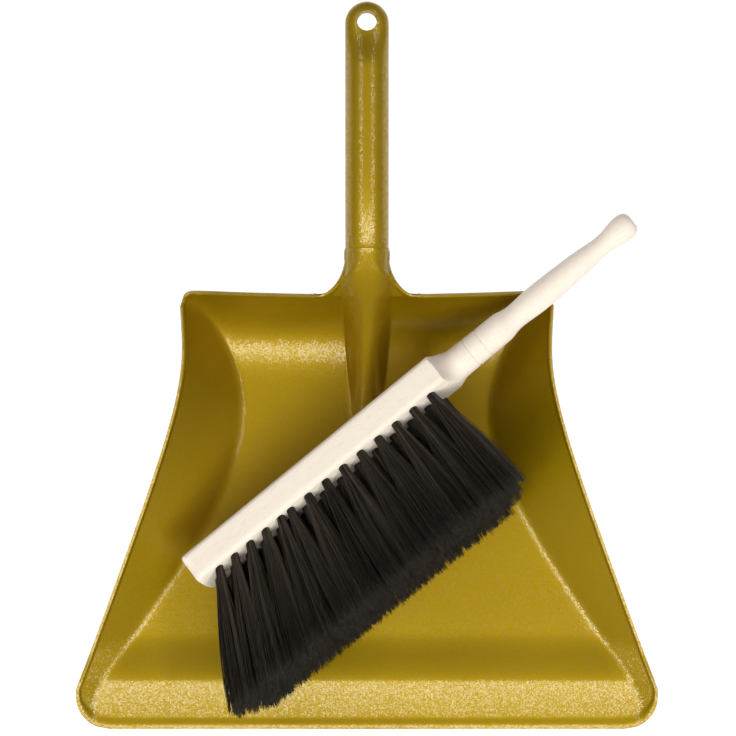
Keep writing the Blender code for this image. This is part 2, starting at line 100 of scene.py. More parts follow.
# Pan: rib, neck and handle tube.
RIB_START_Y = -46.0 * MM
RIB_HALF = 12.6 * MM
RIB_FULL_Y = 43.0 * MM
RIB_LEAST_HALF = 4.0 * MM
RIB_GROWTH = 0.45
RIB_ROUNDNESS = (2.1, 2.8)
RIB_FILLET = 1.5 * MM
CLIMB = 0.98
CLIMB_START_Y = -2.0 * MM
CLIMB_END_Y = 60.0 * MM
CLIMB_SOFTNESS = 12.0 * MM
CREST_SLOPE = 0.035
NECK_WIDTH = 16.0 * MM
NECK_LENGTH = 21.0 * MM
SEAM_Y = 60.0 * MM
TUBE_RADIUS = 10.45 * MM
TUBE_WALL = 1.05 * MM
TONGUE_END_Y = 84.0 * MM
TONGUE_GAP = 0.6 * MM
FLAT_START_Y = 146.0 * MM
FLAT_LENGTH = 18.0 * MM
FLAT_HALF = 6.0 * MM
HOLE_Y = 168.2 * MM
HOLE_RADIUS = 4.8 * MM
TUBE_SLIT = 3.0 * MM

# Brush: local X runs from the toe to the knob, the bristles point along -Y, and Z is its width.
BRUSH_PLACE = (-82.7 * MM, -99.6 * MM, 18.6 * MM)
BRUSH_TURN = (-16.0, -6.28, 39.4)  # degrees
BRUSH_LENGTH = 274.5 * MM
BLOCK_LENGTH = 156.0 * MM
BLOCK_THICK = 17.8 * MM
BLOCK_HALF_WIDTH = 16.5 * MM
BLOCK_EDGE = 3.0 * MM
CROWN_RADIUS = 38.0 * MM
HANDLE_PROFILE = (  # distance from the knob's end and radius, in millimetres
    (0.0, 3.0), (0.8, 4.9), (2.8, 6.2), (6.5, 6.65), (10.5, 6.2), (15.0, 5.25), (19.5, 4.95),
    (25.0, 5.3), (31.4, 5.95), (43.4, 6.5), (56.0, 6.8), (63.0, 6.7), (68.5, 6.35), (73.1, 6.15),
    (77.0, 6.6), (80.6, 7.45), (83.5, 7.6),
)
RING_DISTANCES = (93.0, 100.6)
RING_RADIUS = 7.65 * MM
RING_DEPTH = 0.45 * MM
COVE_START = 108.5 * MM
COVE_RADIUS = 8.0 * MM
COVE_DEPTH = 12.5 * MM
TUFTS_PER_ROW = 14
TOE_TUFTS = 5
TOE_ROOT = 12.6 * MM
TOE_PITCH = 9.8 * MM
HEEL_ROOT = 58.0 * MM
HEEL_PITCH = 11.07 * MM
ROOT_RADIUS = 1.9 * MM
HOLE_DEPTH = 8.5 * MM
BRISTLE_REACH = 60.0 * MM
# For each row: root's place across the face, tip's middle and half width across, first tip and
# last tip along the block, all in millimetres, and the shift of its roots in pitches.
TUFT_ROWS = (
    (12.3, 20.5, 6.6, -16.0, 151.0, 0.0),
    (4.1, 6.4, 6.8, -18.5, 146.0, -0.5),
    (-4.1, -8.4, 7.3, -15.0, 142.0, 0.15),
    (-12.3, -23.6, 7.3, -11.0, 133.0, -0.35),
)

# ---- dimensions of the looks ----

# The bead of the folded rim and of the lip: its height, and how far its crest and foot lie inside.
RIM_BEAD = (0.7 * MM, 1.4 * MM, 2.8 * MM)
LIP_BEAD = (0.5 * MM, 2.2 * MM, 6.0 * MM)
LIP_BEAD_Y = -160.0 * MM  # the rim's bead passes into the lip's over LIP_BEAD_BLEND
LIP_BEAD_BLEND = 10 * MM
EDGE_SAMPLES = 14  # points along each outline edge that distances to the rim are taken from
EDGE_ZONE = 3.4 * MM  # the stretch along the outline that gets close-set rows and columns
FRONT_ROWS_Y = -172.0 * MM  # in front of this the rows bend round the front corners
FRONT_ARC = (135.4 * MM, 138.9 * MM)  # crease and rim of the foremost row
REAR_ROWS_Y = 33.0 * MM  # behind this the rows bend round the rear corners
REAR_ARC = (83.4 * MM, 89.6 * MM)  # crease and rim of the last row
ARC_FILLET = 1 * MM
FRONT_FILLET = 1.5 * MM
FULL_FILLET_Y = -55 * MM  # the crease is softest here and sharpens over FILLET_REACH
FILLET_REACH = 90 * MM
SHOULDER = TUBE_RADIUS + NECK_WIDTH  # half the width of the rib's root, where the neck begins
NECK_CLOSE_TURN = 55  # degrees of the sweep over which the columns close up
NECK_ROUND_TURN = (50, 40)  # where the section begins to turn round, and over how many degrees
BEVEL_ANGLE = math.radians(50)
RIM_ROUND = 0.92 * MM
TUBE_EDGE = 0.3 * MM
SEAM_STEP = 0.15 * MM  # how far the neck lies inside the tube's surface where the tube covers it
WEB_POWER = 2.0
TUBE_SIDES = 72
TUBE_END_POWER = 0.6  # how full the handle's rounded end is, seen from the side
HOLE_SIDES = 48
DRILL_SIDES = 20
TOE_ROUND = 2.2 * MM
TOE_SCOOP = 4.6 * MM  # how far the sanded hollow at the toe reaches along the block
TOE_SCOOP_SLOPE = 0.42
EASE = 0.5 * MM  # radius of the stock's eased edges
BORE_GAP = 0.3 * MM
HAIRS = 430  # bristles in a tuft
WISPS = 24  # bundles that a tuft's bristles gather in
HAIR_RADIUS = 0.115 * MM
HAIR_TAPER = (1.05, 0.72)  # of that radius, at the root and at the tip
HAIR_SEED = 1000
TIP_PAINTED_SHADE = 0.78  # painted shade: how much of a bristle's tone is darkened at its cut end, where the tips face away from the light
HAIR_STEPS = 9
HAIR_START = -0.07  # share of its length at which a bristle begins, inside its hole
ROOT_FILL = 0.95  # of the hole's radius
TIP_FILL = 1.12  # of the tip's half sizes
GATHER = 0.5  # how far each bristle's end leans to the middle of its wisp
FLARE = 1.9  # how soon a tuft opens out
END_SCATTER = 0.55 * MM
STRAY = (0.035, 1.8 * MM)  # share of bristles that stray, and how far
LENGTH_SCATTER = 0.011
SHORT_SHARE = 0.08
SHORT_BY = (0.02, 0.2)
SAG = 0.9 * MM
CURL = (0.16 * MM, 9)  # size and rate of a bristle's waves
TONE_SHARES = (0.45, 0.3, 0.25)  # from the wisp, from the bristle, and of the few pale ones
PALE_SHARE = 0.12
CAMERA_HEIGHT = 1.4
CAMERA_PLACE = (0.5 * MM, 2.4 * MM, CAMERA_HEIGHT)
FRAME_WIDTH = 368 * MM  # what the picture takes in at the ground
SENSOR = 36.0
STAGE_HALF = 4.0
STAGE_DROP = 0.05 * MM  # of the stage's floor under the object
LIGHT_AIM = (0.0, -0.03, 0.0)
WORLD_GREY = 0.09
LIGHTS = (  # name, place, size, radiance and tint
    ("front_bar", (0.0, -1.17, 1.66), (2.4, 1.0), 4.6, (0.98, 1.0, 0.84)),
    ("strip_left", (-0.8, 0.0, 1.4), (2.4, 0.08), 12.0, (1.0, 0.98, 0.88)),
    ("strip_right", (0.8, 0.0, 1.4), (2.4, 0.08), 12.0, (1.0, 0.98, 0.88)),
)


# ---- curves ----


def ramp(distance, radius):
    """0 up to -radius, the distance itself past +radius, and a parabola in between."""
    if distance <= -radius:
        return 0.0
    if distance >= radius:
        return distance
    return (distance + radius) ** 2 / (4 * radius)


def soft_ramp(distance, softness):
    """The same with an endless, smoother bend."""
    return softness * math.log1p(math.exp(-abs(distance) / softness)) + max(distance, 0.0)


def bowed(distance, softness, slope):
    """A hyperbola that starts level at 0 and runs into a straight line of this slope."""
    return math.hypot(softness, slope * distance) - softness


def mix(a, b, share):
    return a + (b - a) * share


def smooth(share):
    share = min(max(share, 0.0), 1.0)
    return share * share * (3 - 2 * share)


def higher(a, b, width):
    """The larger of two heights, with a fillet where they cross."""
    overlap = max(width - abs(a - b), 0.0)
    return max(a, b) + overlap**2 / (4 * width)


def spread(start, end, count):
    """count evenly spaced values after start, the last one at end."""
    return [mix(start, end, (k + 1) / count) for k in range(count)]


# ---- the pan's shape, as functions of x (0 or more) and y ----


def side_half(y):
    """Half the pan's width at y, from the rear corner to the front corner's arc."""
    corner_y = FRONT_CORNER - HALF_LENGTH
    straight = WAIST_HALF + bowed(y - WAIST_Y, SIDE_SOFTNESS, SIDE_SLOPE)
    if y > WAIST_Y:
        return WAIST_HALF + REAR_FLARE * ((y - WAIST_Y) / (REAR_RIM_Y - WAIST_Y)) ** 2
    if y < corner_y:
        return CORNER_X + math.sqrt(max(FRONT_CORNER**2 - (y - corner_y) ** 2, 0.0))
    return min(straight, CORNER_X + FRONT_CORNER)


def front_edge(x):
    """y of the lip, straight and then round the front corner."""
    if x < CORNER_X:
        return -HALF_LENGTH
    return FRONT_CORNER - HALF_LENGTH - math.sqrt(FRONT_CORNER**2 - (x - CORNER_X) ** 2)


def rear_edge(x):
    """y of the rear rim, bowed and then round the rear corner."""
    bow = REAR_RIM_Y + REAR_BOW * (min(x, REAR_CORNER_X) / REAR_CORNER_X) ** 2
    if x < REAR_CORNER_X:
        return bow
    return bow - REAR_CORNER + math.sqrt(REAR_CORNER**2 - (x - REAR_CORNER_X) ** 2)


def crease_half(y):
    """x of the fold between the floor and the side wall."""
    if y > CREASE_Y:
        return CREASE_HALF + bowed(y - CREASE_Y, *CREASE_REAR)
    return -higher(-CREASE_HALF - bowed(y - CREASE_Y, *CREASE_FRONT), -CREASE_MAX, CREASE_BLEND)


def base_height(x, y):
    """Top of the floor, its ridge, the ramp down to the lip, and the back wall."""
    if y > BEND_Y:
        along = (y - BEND_Y) / (rear_edge(min(x, REAR_CORNER_X)) - BEND_Y)
        return SHEET + (REAR_HEIGHT - SHEET) * min(along, 1.0) ** BEND_POWER
    if y > RIDGE_Y:
        return SHEET + RIDGE_HEIGHT * smooth((RISE_Y - y) / (RISE_Y - RIDGE_Y))
    down = (RIDGE_Y - y) / (HALF_LENGTH + RIDGE_Y)
    return HEM + (SHEET + RIDGE_HEIGHT - HEM) * max(1 - down, 0.0) ** LIP_POWER


def rim_height(y):
    """Top of the side rim, which comes down towards the lip."""
    return REAR_HEIGHT - bowed(min(y - SIDE_LEVEL_Y, 0.0), SIDE_LEVEL_SOFTNESS, SIDE_DROP)


def wall_slope(y):
    """Rise of the side wall over its run from the crease out to the rim."""
    at = min(max(y, FRONT_WALL_Y), REAR_RIM_Y - 2 * MM)
    run = side_half(at) - crease_half(at)
    slope = (rim_height(at) - base_height(crease_half(at), at)) / run
    return mix(FRONT_WALL_SLOPE, slope, smooth((y - FRONT_WALL_Y) / FRONT_WALL_BLEND))


def crest_height(y):
    """Top of the rib, the neck and the handle tube."""
    climb = soft_ramp(y - CLIMB_START_Y, CLIMB_SOFTNESS) - soft_ramp(y - CLIMB_END_Y, CLIMB_SOFTNESS)
    return SHEET + CLIMB * climb + CREST_SLOPE * max(y - RIB_START_Y, 0.0)


def rib_half(y):
    share = (y - RIB_START_Y) / (RIB_FULL_Y - RIB_START_Y)
    return max(RIB_HALF * max(share, 0.0) ** RIB_GROWTH, RIB_LEAST_HALF)


def rib_height(x, y, half, foot):
    """The rib's rounded section: its crest at x = 0 and its foot, at height foot, at x = half."""
    roundness = mix(*RIB_ROUNDNESS, smooth((y - RIB_START_Y) / (SEAM_Y - RIB_START_Y)))
    crest = crest_height(y)
    return crest - (crest - foot) * (x / half) ** roundness


def pan_top(x, y):
    """Height of the pan's upper surface."""
    base = base_height(x, y)
    top = base + wall_slope(y) * ramp(x - crease_half(y), CREASE_FILLET)
    if y > RIB_START_Y and x < 2 * RIB_HALF:
        top = higher(top, rib_height(x, y, rib_half(y), base), RIB_FILLET)
    return top


def tube_axis(y):
    return crest_height(y) - TUBE_RADIUS


# ---- building helpers ----


def add_piece(name, mesh, material):
    piece = bpy.data.objects.new(name, mesh)
    mesh.materials.append(material)
    bpy.context.scene.collection.objects.link(piece)
    return piece


def settle(piece, sharp_degrees):
    """Applies the piece's modifiers and its place, and shades it smooth between sharp edges."""
    bpy.context.view_layer.update()
    graph = bpy.context.evaluated_depsgraph_get()
    mesh = bpy.data.meshes.new_from_object(piece.evaluated_get(graph), depsgraph=graph)
    piece.modifiers.clear()
    piece.data = mesh
    mesh.transform(piece.matrix_world)
    piece.parent = None
    piece.matrix_world.identity()
    mesh.shade_smooth()
    mesh.set_sharp_from_angle(angle=math.radians(sharp_degrees))
    return piece


def round_edges(piece, width, segments):
    """Rounds every edge that turns by more than BEVEL_ANGLE."""
    rounding = piece.modifiers.new("Rounded edges", "BEVEL")
    rounding.width = width
    rounding.segments = segments
    rounding.limit_method = "ANGLE"
    rounding.angle_limit = BEVEL_ANGLE


def finished_mesh(work, name):
    mesh = bpy.data.meshes.new(name)
    work.to_mesh(mesh)
    work.free()
    return mesh


def grid_faces(work, rows, wrap=False):
    """Quads between neighbouring rows of vertices. Rows may differ in length."""
    for lower, upper in zip(rows, rows[1:]):
        count = min(len(lower), len(upper))
        for i in range(count if wrap else count - 1):
            j = (i + 1) % count
            work.faces.new((lower[i], lower[j], upper[j], upper[i]))


def loft_mesh(name, rings):
    """A closed solid through rings of points that correspond, with a face over each end."""
    work = bmesh.new()
    rows = [[work.verts.new(point) for point in ring] for ring in rings]
    grid_faces(work, rows, wrap=True)
    work.faces.new(rows[0])
    work.faces.new(rows[-1])
    bmesh.ops.recalc_face_normals(work, faces=work.faces)
    return finished_mesh(work, name)


def cut(piece, cutter):
    """Takes the cutter's mesh out of the piece."""
    tool = bpy.data.objects.new("cutter", cutter)
    bpy.context.scene.collection.objects.link(tool)
    tool.matrix_world = piece.matrix_world
    modifier = piece.modifiers.new("Cut", "BOOLEAN")
    modifier.solver = "EXACT"
    modifier.operation = "DIFFERENCE"
    modifier.object = tool
    bpy.context.view_layer.update()
    graph = bpy.context.evaluated_depsgraph_get()
    piece.data = bpy.data.meshes.new_from_object(piece.evaluated_get(graph), depsgraph=graph)
    piece.modifiers.clear()
    bpy.data.objects.remove(tool)


# ---- the pressed pan ----


def half_columns(fold, shoulder, crease, rim, fillet):
    """Where the columns of the sheet cross one half of a row, from the middle to the rim."""
    fillet = min(fillet, 0.3 * (rim - crease))
    edge = min(EDGE_ZONE, 0.5 * (rim - crease - fillet))
    columns = [0.0] + spread(0.0, 0.8 * fold, 9)
    columns += spread(0.8 * fold, 1.1 * fold, 6)
    columns += spread(1.1 * fold, shoulder, 8)
    columns += spread(shoulder, crease - fillet, 18)
    columns += spread(crease - fillet, crease + fillet, 10)
    columns += spread(crease + fillet, rim - edge, 12)
    return columns + spread(rim - edge, rim, 8)


NECK_COLUMNS = 1 + 9 + 6 + 8  # of those columns, the ones that run on into the neck


def pan_rows():
    """The sheet's rows from lip to rear rim, each a list of (x, y) over half the width."""
    front_y = FRONT_ROWS_Y
    crease, rim = crease_half(front_y), side_half(front_y)
    front = half_columns(RIB_LEAST_HALF, SHOULDER, *FRONT_ARC, ARC_FILLET)
    behind = half_columns(RIB_LEAST_HALF, SHOULDER, crease, rim, FRONT_FILLET)
    rows = []
    for share in [0.0] + spread(0.0, 0.6, 8) + spread(0.6, 0.9, 2):
        xs = [mix(a, b, share) for a, b in zip(front, behind)]
        rows.append([(x, mix(front_edge(a), front_y, share)) for x, a in zip(xs, front)])
    ys = [front_y] + spread(front_y, RIDGE_Y + 4 * MM, 26) + spread(RIDGE_Y + 4 * MM, RISE_Y, 12)
    ys += spread(RISE_Y, RIB_START_Y, 34) + spread(RIB_START_Y, BEND_Y, 26)
    ys += spread(BEND_Y, REAR_ROWS_Y, 46)
    for y in ys:
        softest = smooth(1 - abs(y - FULL_FILLET_Y) / FILLET_REACH)
        fillet = mix(FRONT_FILLET, CREASE_FILLET, softest)
        xs = half_columns(rib_half(y), SHOULDER, crease_half(y), side_half(y), fillet)
        rows.append([(x, y) for x in xs])
    rear = half_columns(rib_half(REAR_RIM_Y), SHOULDER, *REAR_ARC, ARC_FILLET)
    last = rows[-1]
    for share in spread(0.0, 0.3, 2) + spread(0.3, 1.0, 9):
        xs = [mix(b[0], a, share) for a, b in zip(rear, last)]
        rows.append([(x, mix(b[1], rear_edge(a), share)) for x, a, b in zip(xs, rear, last)])
    return rows


def neck_columns(fold, edge_x, turn):
    """As many columns across the neck. They close up towards its edge as the sweep turns."""
    wide = half_columns(rib_half(REAR_RIM_Y), SHOULDER, *REAR_ARC, ARC_FILLET)
    edge = min(EDGE_ZONE, 0.5 * (edge_x - fold))
    close = [0.0] + spread(0.0, 0.85 * fold, 9) + spread(0.85 * fold, fold, 6)
    close += spread(fold, edge_x - edge, 1) + spread(edge_x - edge, edge_x, 7)
    share = smooth(turn / NECK_CLOSE_TURN)
    return [mix(a * edge_x / SHOULDER, b, share) for a, b in zip(wide, close)]


def web_height(y):
    """The sheet beside the rib, where it carries the back wall's slope on and up to the tube."""
    left = (REAR_RIM_Y + NECK_LENGTH - y) / NECK_LENGTH
    top = tube_axis(REAR_RIM_Y + NECK_LENGTH)
    return top - (top - REAR_HEIGHT) * min(max(left, 0.0), 1.0) ** WEB_POWER


def neck_rows():
    """Rows of the neck, half wide: from the rim through the concave sweep, then the tongue."""
    rows = []
    round_from, round_over = NECK_ROUND_TURN
    for turn in spread(0.0, 90.0, 30):
        angle = math.radians(turn)
        edge_x = TUBE_RADIUS + NECK_WIDTH * (1 - math.sin(angle))
        edge_y = REAR_RIM_Y + NECK_LENGTH * (1 - math.cos(angle))
        middle_y = mix(REAR_RIM_Y, REAR_RIM_Y + NECK_LENGTH, turn / 90)
        fold = min(rib_half(middle_y), 0.93 * edge_x)
        row = []
        for x in neck_columns(fold, edge_x, turn):
            y = mix(middle_y, edge_y, (x / edge_x) ** 2)
            y += REAR_BOW * (x / REAR_CORNER_X) ** 2 * (1 - turn / 90)
            foot = web_height(y)
            pressed = higher(foot, rib_height(x, y, fold, foot), RIB_FILLET)
            round_top = tube_axis(y) + math.sqrt(max(TUBE_RADIUS**2 - x * x, 0.0))
            row.append((x, y, mix(pressed, round_top, smooth((turn - round_from) / round_over))))
        rows.append(row)
    tongue_radius = TUBE_RADIUS - TUBE_WALL - TONGUE_GAP
    stretches = [(SEAM_Y - 0.06 * MM, TUBE_RADIUS - SEAM_STEP), (SEAM_Y - 0.03 * MM, tongue_radius)]
    stretches += [(y, tongue_radius) for y in spread(SEAM_Y + 2 * MM, TONGUE_END_Y, 4)]
    for y, radius in stretches:
        row = []
        for k in range(NECK_COLUMNS):
            angle = math.radians(90) * k / (NECK_COLUMNS - 1)
            row.append((radius * math.sin(angle), y, tube_axis(y) + radius * math.cos(angle)))
        rows.append(row)
    return rows


def bead_rise(distance, y):
    """How far the folded rim stands above the sheet. At the lip the bead is lower and broader."""
    share = smooth((LIP_BEAD_Y - y) / LIP_BEAD_BLEND)
    height, crest, reach = [mix(a, b, share) for a, b in zip(RIM_BEAD, LIP_BEAD)]
    if distance < crest:
        return height * (1 - (1 - distance / crest) ** 2)
    return height * smooth((reach - distance) / (reach - crest))


def raise_bead(work, edges):
    """Lifts the folded rim a little above the sheet, and returns which vertices are in the fold."""
    tree = KDTree(len(edges) * EDGE_SAMPLES)
    for edge in edges:
        for k in range(EDGE_SAMPLES):
            tree.insert(edge.verts[0].co.lerp(edge.verts[1].co, (k + 0.5) / EDGE_SAMPLES), 0)
    tree.balance()
    folded = []
    lift = {}
    work.normal_update()
    for vert in work.verts:
        distance = tree.find(vert.co)[2]
        if distance < HEM_WIDTH:
            folded.append(vert.index)
        if distance < LIP_BEAD[2]:
            lift[vert] = vert.normal * bead_rise(distance, vert.co.y)
    for vert, step in lift.items():
        vert.co += step
    return folded


def build_pan(material):
    """The pressing: half of its upper surface, mirrored, then given the sheet's thickness."""
    work = bmesh.new()
    rows = [[work.verts.new((x, y, pan_top(x, y))) for x, y in row] for row in pan_rows()]
    rows += [[work.verts.new(point) for point in row] for row in neck_rows()]
    grid_faces(work, rows)
    work.verts.index_update()
    edges = []
    for edge in work.edges:
        middle = (edge.verts[0].co + edge.verts[1].co) / 2
        if edge.is_boundary and middle.x > 0.01 * MM and middle.y < SEAM_Y - 1.2 * MM:
            edges.append(edge)
    folded = raise_bead(work, edges)
    mesh = finished_mesh(work, "pan_pressing")
    pan = add_piece("pan_pressing", mesh, material)
    hem = pan.vertex_groups.new(name="hem")
    hem.add(range(len(mesh.vertices)), SHEET / HEM, "REPLACE")
    hem.add(folded, 1.0, "REPLACE")
    mirror = pan.modifiers.new("Other half", "MIRROR")
    mirror.merge_threshold = 0.05 * MM
    shell = pan.modifiers.new("Sheet", "SOLIDIFY")
    shell.thickness = HEM
    shell.offset = -1.0
    shell.vertex_group = "hem"
    round_edges(pan, RIM_ROUND, 4)
    return settle(pan, 60)


# ---- the handle tube ----


def tube_ring(y, side, height, centre):
    points = []
    for k in range(TUBE_SIDES):
        angle = 2 * math.pi * k / TUBE_SIDES
        points.append((side * math.sin(angle), y, centre + height * math.cos(angle)))
    return points


def tube_rings(shrink, start_y):
    """Rings of the handle's outer surface, or of one that lies shrink inside it."""
    radius = TUBE_RADIUS - shrink
    flat = FLAT_HALF - shrink
    end_y = HALF_LENGTH - shrink
    rings = []
    ys = [start_y] + spread(start_y, FLAT_START_Y, 30)
    for y in ys + spread(FLAT_START_Y, end_y - radius, 14):
        height = mix(radius, flat, smooth((y - FLAT_START_Y) / FLAT_LENGTH))
        rings.append(tube_ring(y, radius, height, tube_axis(y)))
    for turn in spread(0.0, 85.0, 17):
        angle = math.radians(turn)
        y = end_y - radius * (1 - math.sin(angle))
        height = mix(radius, flat, smooth((y - FLAT_START_Y) / FLAT_LENGTH))
        side = radius * math.cos(angle)
        rings.append(tube_ring(y, side, height * math.cos(angle) ** TUBE_END_POWER, tube_axis(y)))
    return rings


def build_tube(material):
    tube = add_piece("handle_skin", loft_mesh("handle_skin", tube_rings(0.0, SEAM_Y)), material)
    cut(tube, loft_mesh("bore", tube_rings(TUBE_WALL, SEAM_Y - 5 * MM)))
    slit = []
    for y in (30 * MM, HOLE_Y - 12 * MM):
        low = tube_axis(y) - 24 * MM
        high = tube_axis(y) - 4 * MM
        half = TUBE_SLIT / 2
        slit.append([(-half, y, low), (half, y, low), (half, y, high), (-half, y, high)])
    cut(tube, loft_mesh("slit", slit))
    hole = []
    for z in (-20 * MM, 20 * MM):
        ring = []
        for k in range(HOLE_SIDES):
            angle = 2 * math.pi * k / HOLE_SIDES
            x = HOLE_RADIUS * math.cos(angle)
            y = HOLE_RADIUS * math.sin(angle)
            ring.append((x, HOLE_Y + y, tube_axis(HOLE_Y) + z))
        hole.append(ring)
    cut(tube, loft_mesh("hole", hole))
    round_edges(tube, TUBE_EDGE, 2)
    return settle(tube, 40)


# ---- the brush, in its own frame ----


def face_y(z):
    """y of the crowned bristle face at the height z across the block."""
    return z * z / (2 * CROWN_RADIUS) - BLOCK_THICK / 2


def arc(centre, radius, start, end, steps):
    """Points on an arc in the block's section, angles in degrees from +Y towards +Z."""
    points = []
    for k in range(steps + 1):
        angle = math.radians(mix(start, end, k / steps))
        points.append((centre[0] + radius * math.cos(angle), centre[1] + radius * math.sin(angle)))
    return points


def block_section():
    """Outline of the block across its length: flat back, rounded edges, crowned bristle face."""
    back = BLOCK_THICK / 2 - BLOCK_EDGE
    side = BLOCK_HALF_WIDTH - BLOCK_EDGE
    front = face_y(side) + BLOCK_EDGE
    outline = arc((back, side), BLOCK_EDGE, 0, 90, 8)
    outline += [(y, BLOCK_HALF_WIDTH) for y in spread(back, front, 8)[:-1]]
    outline += arc((front, side), BLOCK_EDGE, 90, 180 - 12, 7)
    outline += [(face_y(z), z) for z in spread(side - 1 * MM, 1 * MM - side, 24)]
    outline += arc((front, -side), BLOCK_EDGE, 180 + 12, 270, 7)
    outline += [(y, -BLOCK_HALF_WIDTH) for y in spread(front, back, 8)[:-1]]
    outline += arc((back, -side), BLOCK_EDGE, 270, 360, 8)
    return outline + [(BLOCK_THICK / 2, z) for z in spread(-side, side, 14)[:-1]]


def turned_radius(x):
    """Radius that the lathe leaves at x, without the scribed rings."""
    cove_end = BRUSH_LENGTH - COVE_START
    if x < BLOCK_LENGTH:
        return 1.0
    if x < cove_end:
        share = (cove_end - x) / (cove_end - BLOCK_LENGTH)
        return COVE_RADIUS + COVE_DEPTH * (1 - math.sqrt(max(1 - share * share, 0.0)))
    distance = (BRUSH_LENGTH - x) / MM
    points = HANDLE_PROFILE + ((92.0, RING_RADIUS / MM), (COVE_START / MM, COVE_RADIUS / MM))
    for k in range(len(points) - 1):
        if points[k][0] <= distance <= points[k + 1][0]:
            before, after = points[max(k - 1, 0)], points[min(k + 2, len(points) - 1)]
            return hermite(before, points[k], points[k + 1], after, distance) * MM
    return points[-1][1] * MM


def hermite(before, left, right, after, at):
    """A smooth curve through points given as (place, value), which keeps their slopes."""
    span = right[0] - left[0]
    t = (at - left[0]) / span
    slope_left = (right[1] - before[1]) / max(right[0] - before[0], 1e-9) * span
    slope_right = (after[1] - left[1]) / max(after[0] - left[0], 1e-9) * span
    rise = t * t * (3 - 2 * t)
    return mix(left[1], right[1], rise) + slope_left * t * (1 - t) ** 2 - slope_right * t * t * (1 - t)


def stock_stations():
    """Where the stock's sections stand, closer together wherever its shape changes."""
    cove_end = BRUSH_LENGTH - COVE_START
    xs = [0.0] + spread(0.0, TOE_ROUND, 8) + spread(TOE_ROUND, 7 * MM, 14)
    xs += spread(7 * MM, BLOCK_LENGTH - 4 * MM, 24) + spread(BLOCK_LENGTH - 4 * MM, BLOCK_LENGTH, 3)
    xs += spread(BLOCK_LENGTH + 0.05 * MM, cove_end, 24)
    rings = [BRUSH_LENGTH - distance * MM for distance in RING_DISTANCES]
    turned = spread(cove_end, BRUSH_LENGTH - 8 * MM, 96)
    xs += [x for x in turned if all(abs(x - ring) > 0.9 * MM for ring in rings)]
    for ring in rings:
        xs += [ring + offset * MM for offset in (-0.7, -0.5, -0.3, -0.12, 0.0, 0.12, 0.3, 0.5, 0.7)]
    xs += spread(BRUSH_LENGTH - 8 * MM, BRUSH_LENGTH, 22)
    return sorted(xs)


def stock_section(x, outline):
    """The ring of points round the stock at x: the block's outline, held inside the turned shape."""
    turned = turned_radius(x)
    for distance in RING_DISTANCES:
        off = abs(x - (BRUSH_LENGTH - distance * MM))
        turned -= RING_DEPTH * max(1 - off / (0.5 * MM), 0.0)
    inset = 0.0
    if x < TOE_ROUND:
        inset = TOE_ROUND - math.sqrt(TOE_ROUND**2 - (TOE_ROUND - x) ** 2)
    ring = []
    for y, z in outline:
        radius = math.hypot(y, z)
        kept = -higher(inset - radius, -turned, EASE)
        y, z = y * kept / radius, z * kept / radius
        reach = TOE_SCOOP * (1 - (y / (0.6 * BLOCK_THICK)) ** 2)
        scoop = TOE_SCOOP_SLOPE * ramp(reach - x, 0.4 * MM)
        ring.append((x, y, z - math.copysign(scoop * smooth(abs(z) / BLOCK_HALF_WIDTH), z)))
    return ring


def root_x(column, shift):
    """Where along the block a tuft's root is. shift moves it by a share of the pitch."""
    if column < TOE_TUFTS:
        return TOE_ROOT + (column + shift) * TOE_PITCH
    return HEEL_ROOT + (column - TOE_TUFTS + shift) * HEEL_PITCH


def tuft_line(row, column):
    """Root on the face's chord plane, tip, and the tip's half sizes along and across."""
    root_z, tip_z, half_across, first_tip, last_tip, shift = TUFT_ROWS[row]
    pitch = (last_tip - first_tip) * MM / (TUFTS_PER_ROW - 1)
    root = Vector((root_x(column, shift), face_y(root_z * MM), root_z * MM))
    tip = Vector((first_tip * MM + column * pitch, -BLOCK_THICK / 2 - BRISTLE_REACH, tip_z * MM))
    return root, tip, pitch / 2, half_across * MM


def drill_mesh():
    """All tuft holes, each along its tuft and with a slightly broken edge."""
    work = bmesh.new()
    for row in range(len(TUFT_ROWS)):
        for column in range(TUFTS_PER_ROW):
            root, tip, _, _ = tuft_line(row, column)
            step = (tip - root) / (root.y - tip.y)
            radius = ROOT_RADIUS + BORE_GAP
            rings = []
            for depth, grow in ((HOLE_DEPTH, 0.0), (0.1 * MM, 0.0), (-4 * MM, 0.15)):
                centre = root - step * depth
                ring = []
                for k in range(DRILL_SIDES):
                    angle = 2 * math.pi * k / DRILL_SIDES
                    side = Vector((math.cos(angle), 0.0, math.sin(angle))) * radius * (1 + grow)
                    ring.append(work.verts.new(centre + side))
                rings.append(ring)
            grid_faces(work, rings, wrap=True)
            work.faces.new(rings[0])
            work.faces.new(rings[-1])
    bmesh.ops.recalc_face_normals(work, faces=work.faces)
    return finished_mesh(work, "drill")


def build_stock(place, material):
    outline = block_section()
    rings = [stock_section(x, outline) for x in stock_stations()]
    stock = add_piece("stock_wood", loft_mesh("stock_wood", rings), material)
    cut(stock, drill_mesh())
    stock.matrix_world = place
    return settle(stock, 38)


